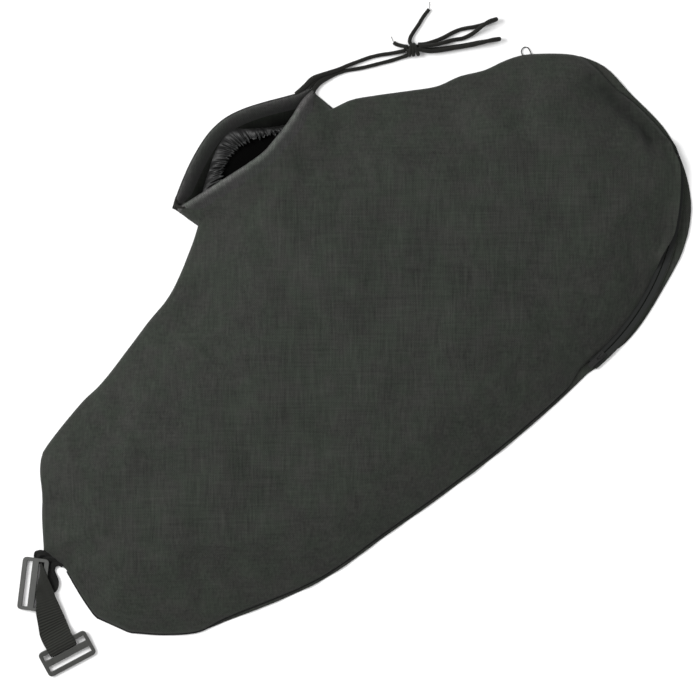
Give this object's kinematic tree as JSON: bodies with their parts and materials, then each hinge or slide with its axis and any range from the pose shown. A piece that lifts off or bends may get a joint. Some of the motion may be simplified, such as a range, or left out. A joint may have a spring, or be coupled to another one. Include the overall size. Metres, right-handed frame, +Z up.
{
  "type": "leaf vacuum collection bag",
  "caption": "Zipped cloth collection bag for a leaf vacuum, lying flat, with a drawstring neck, a gathered cuff inside it and a short webbing strap with tri-glides.",
  "frame": {"origin": "Middle of the footprint, on the surface the bag lies on, leaving the free drawstring out", "axes": "X runs along the bag, parallel to the mouth, with the strap at -X; Y points out of the mouth; Z is up"},
  "size_m": [0.8882, 0.4675, 0.0328],
  "materials": {
    "cloth": "coated plain weave, matt",
    "lining": "smooth lining, slight sheen",
    "elastic": "covered elastic cord",
    "cord": "braided cord",
    "webbing": "woven webbing",
    "moulded_plastic": "moulded, satin",
    "zip_tape": "woven tape",
    "zip_coil": "nylon coil",
    "zip_metal": "black paint"
  },
  "bodies": {
    "bag": {"back_panel": "cloth", "back_panel_hem": "cloth", "bow_knot": "cord", "bow_loop_lower": "cord", "bow_loop_upper": "cord", "cuff_elastic": "elastic", "drawstring_end_long": "cord", "drawstring_end_short": "cord", "drawstring_in_casing": "cord", "drawstring_lead_lower": "cord", "drawstring_lead_upper": "cord", "front_panel": "cloth", "inner_cuff": "lining", "mouth_casing": "cloth", "seam_allowance_bottom": "cloth", "seam_allowance_left": "cloth", "seam_allowance_top": "cloth", "strap_sewn_end": "webbing", "thread_loop": "cord", "zip_bottom_stop": "zip_metal", "zip_coil_back": "zip_coil", "zip_coil_front": "zip_coil", "zip_tape_back": "zip_tape", "zip_tape_front": "zip_tape", "zip_top_stop_back": "zip_metal", "zip_top_stop_front": "zip_metal"},
    "zip_slider": {"zip_slider": "zip_metal"},
    "zip_pull": {"zip_pull": "zip_metal"},
    "strap": {"strap": "webbing"},
    "tri_glide_upper": {"tri_glide_upper": "moulded_plastic"},
    "tri_glide_lower": {"tri_glide_lower": "moulded_plastic"}
  },
  "joints": [
    {"name": "zip_travel", "type": "hinge", "parent": "bag", "child": "zip_slider", "pos_m": [0.2211, 0.0343, 0.0045], "axis": [0, 0, 1], "range_deg": [-0.4, 51]},
    {"name": "pull_swing", "type": "hinge", "parent": "zip_slider", "child": "zip_pull", "pos_m": [0.23373, -0.22399, 0.00605], "axis": [-0.0488, 0.9988, 0], "range_deg": [0, 175]},
    {"name": "strap_fold", "type": "hinge", "parent": "bag", "child": "strap", "pos_m": [-0.3629, -0.0148, 0.0019], "axis": [-0.2504, 0.9681, 0], "range_deg": [-60, 45]},
    {"name": "tri_glide_upper_swing", "type": "hinge", "parent": "strap", "child": "tri_glide_upper", "pos_m": [-0.3857, -0.0289, 0.0048], "axis": [0.7302, 0.6833, 0], "range_deg": [-8, 25]},
    {"name": "tri_glide_lower_swing", "type": "hinge", "parent": "strap", "child": "tri_glide_lower", "pos_m": [-0.4114, -0.0894, 0.0048], "axis": [-0.9785, 0.2062, 0], "range_deg": [-80, 90]}
  ]
}
